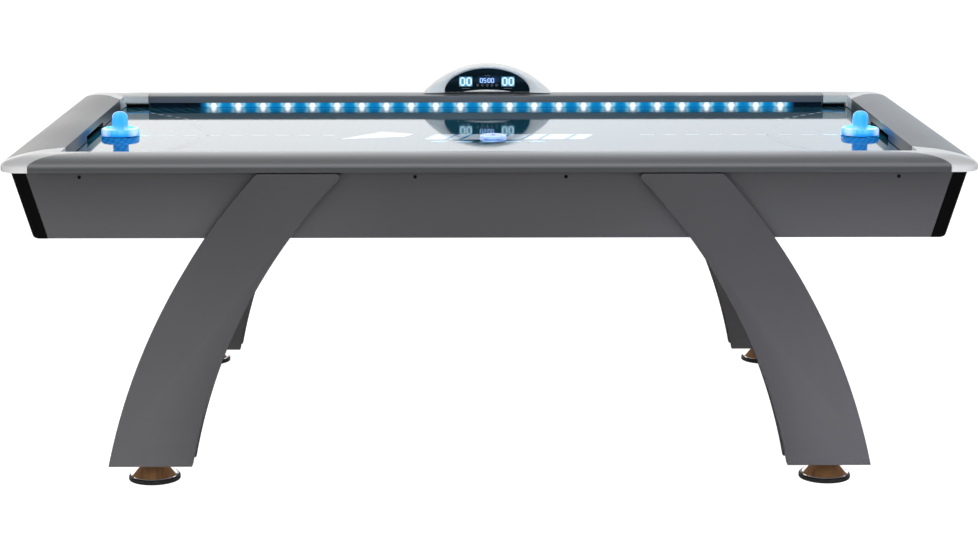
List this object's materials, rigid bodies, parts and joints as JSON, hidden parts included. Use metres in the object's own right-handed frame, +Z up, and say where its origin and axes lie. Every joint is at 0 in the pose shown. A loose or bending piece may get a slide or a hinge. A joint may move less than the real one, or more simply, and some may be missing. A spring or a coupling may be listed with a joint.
{
  "type": "air hockey table",
  "caption": "Full-size air hockey table with bowed grey legs, rounded metal rails, silver corner caps, lit rail channels, an arched electronic scoreboard, glowing strikers and a puck.",
  "frame": {"origin": "on the floor, under the middle of the table", "axes": "+X along the table's length, +Y towards the rail that carries the scoreboard, +Z up"},
  "size_m": [2.286, 1.2954, 0.867],
  "materials": {
    "rail": "grey anodised, satin, fine lengthwise grain",
    "cap": "silver paint, satin",
    "laminate": "dark grey laminate on board, fine satin grain",
    "black_plastic": "fine moulded texture",
    "playfield": "high gloss laminate, printed",
    "raw_board": "bare fibreboard",
    "chrome": "polished",
    "rubber": "matte",
    "steel": "satin",
    "dark_window": "gloss, smoked",
    "circuit": "solder mask",
    "light": "lit blue",
    "clear_window": "clear acrylic",
    "striker": "translucent, lit from inside",
    "felt": "felt",
    "puck": "pale blue, satin",
    "key": "fine moulded texture"
  },
  "bodies": {
    "table": {"rail_front": "rail", "rail_back": "rail", "rail_left": "rail", "rail_right": "rail", "corner_cap_front_left": "cap", "corner_cap_front_right": "cap", "corner_cap_back_left": "cap", "corner_cap_back_right": "cap", "apron_front": "laminate", "apron_back": "laminate", "apron_left": "laminate", "apron_right": "laminate", "corner_post_front_left": "black_plastic", "corner_post_front_right": "black_plastic", "corner_post_back_left": "black_plastic", "corner_post_back_right": "black_plastic", "cabinet_bottom": "raw_board", "playfield_deck": "playfield", "air_plenum": "raw_board", "puck_tray_left": "black_plastic", "puck_tray_right": "black_plastic", "leg_panel_front_left": "laminate", "leg_panel_front_right": "laminate", "leg_panel_back_left": "laminate", "leg_panel_back_right": "laminate", "leg_core_front_left": "laminate", "leg_core_front_right": "laminate", "leg_core_back_left": "laminate", "leg_core_back_right": "laminate", "blower_housing": "black_plastic", "blower_motor": "steel", "blower_grille": "black_plastic", "scoreboard_housing": "cap", "scoreboard_display": "dark_window", "scoreboard_circuit": "circuit", "led_strip_front": "light", "led_strip_back": "light", "light_window_front": "clear_window", "light_window_back": "clear_window", "power_inlet": "black_plastic"},
    "striker_left": {"striker_left": "striker", "striker_pad_left": "felt"},
    "striker_right": {"striker_right": "striker", "striker_pad_right": "felt"},
    "puck": {"puck": "puck"},
    "foot_front_left": {"foot_front_left": "chrome", "foot_pad_front_left": "rubber"},
    "foot_front_right": {"foot_front_right": "chrome", "foot_pad_front_right": "rubber"},
    "foot_back_left": {"foot_back_left": "chrome", "foot_pad_back_left": "rubber"},
    "foot_back_right": {"foot_back_right": "chrome", "foot_pad_back_right": "rubber"},
    "impeller": {"blower_impeller": "black_plastic"},
    "power_switch": {"power_switch": "black_plastic"},
    "score_key_1": {"score_key_1": "key"},
    "score_key_2": {"score_key_2": "key"},
    "score_key_3": {"score_key_3": "key"},
    "score_key_4": {"score_key_4": "key"},
    "score_key_5": {"score_key_5": "key"}
  },
  "joints": [
    {"name": "striker_left_slide", "type": "slide", "parent": "table", "child": "striker_left", "axis": [0, 1, 0], "range_m": [-0.43, 0.46]},
    {"name": "striker_right_slide", "type": "slide", "parent": "table", "child": "striker_right", "axis": [0, 1, 0], "range_m": [-0.424, 0.466]},
    {"name": "puck_slide", "type": "slide", "parent": "table", "child": "puck", "axis": [1, 0, 0], "range_m": [-0.863, 0.837]},
    {"name": "foot_front_left_screw", "type": "slide", "parent": "table", "child": "foot_front_left", "axis": [0, 0, -1], "range_m": [0, 0.02]},
    {"name": "foot_front_right_screw", "type": "slide", "parent": "table", "child": "foot_front_right", "axis": [0, 0, -1], "range_m": [0, 0.02]},
    {"name": "foot_back_left_screw", "type": "slide", "parent": "table", "child": "foot_back_left", "axis": [0, 0, -1], "range_m": [0, 0.02]},
    {"name": "foot_back_right_screw", "type": "slide", "parent": "table", "child": "foot_back_right", "axis": [0, 0, -1], "range_m": [0, 0.02]},
    {"name": "impeller_spin", "type": "hinge", "parent": "table", "child": "impeller", "pos_m": [0, 0, 0.63], "axis": [0, 0, 1], "continuous": true},
    {"name": "power_switch_rock", "type": "hinge", "parent": "table", "child": "power_switch", "pos_m": [0.8755, 0.6075, 0.672], "axis": [1, 0, 0], "range_deg": [-14, 0]},
    {"name": "score_key_1_press", "type": "slide", "parent": "table", "child": "score_key_1", "axis": [0, 1, 0], "range_m": [0, 0.001], "stiffness_N_per_m": 300},
    {"name": "score_key_2_press", "type": "slide", "parent": "table", "child": "score_key_2", "axis": [0, 1, 0], "range_m": [0, 0.001], "stiffness_N_per_m": 300},
    {"name": "score_key_3_press", "type": "slide", "parent": "table", "child": "score_key_3", "axis": [0, 1, 0], "range_m": [0, 0.001], "stiffness_N_per_m": 300},
    {"name": "score_key_4_press", "type": "slide", "parent": "table", "child": "score_key_4", "axis": [0, 1, 0], "range_m": [0, 0.001], "stiffness_N_per_m": 300},
    {"name": "score_key_5_press", "type": "slide", "parent": "table", "child": "score_key_5", "axis": [0, 1, 0], "range_m": [0, 0.001], "stiffness_N_per_m": 300}
  ]
}
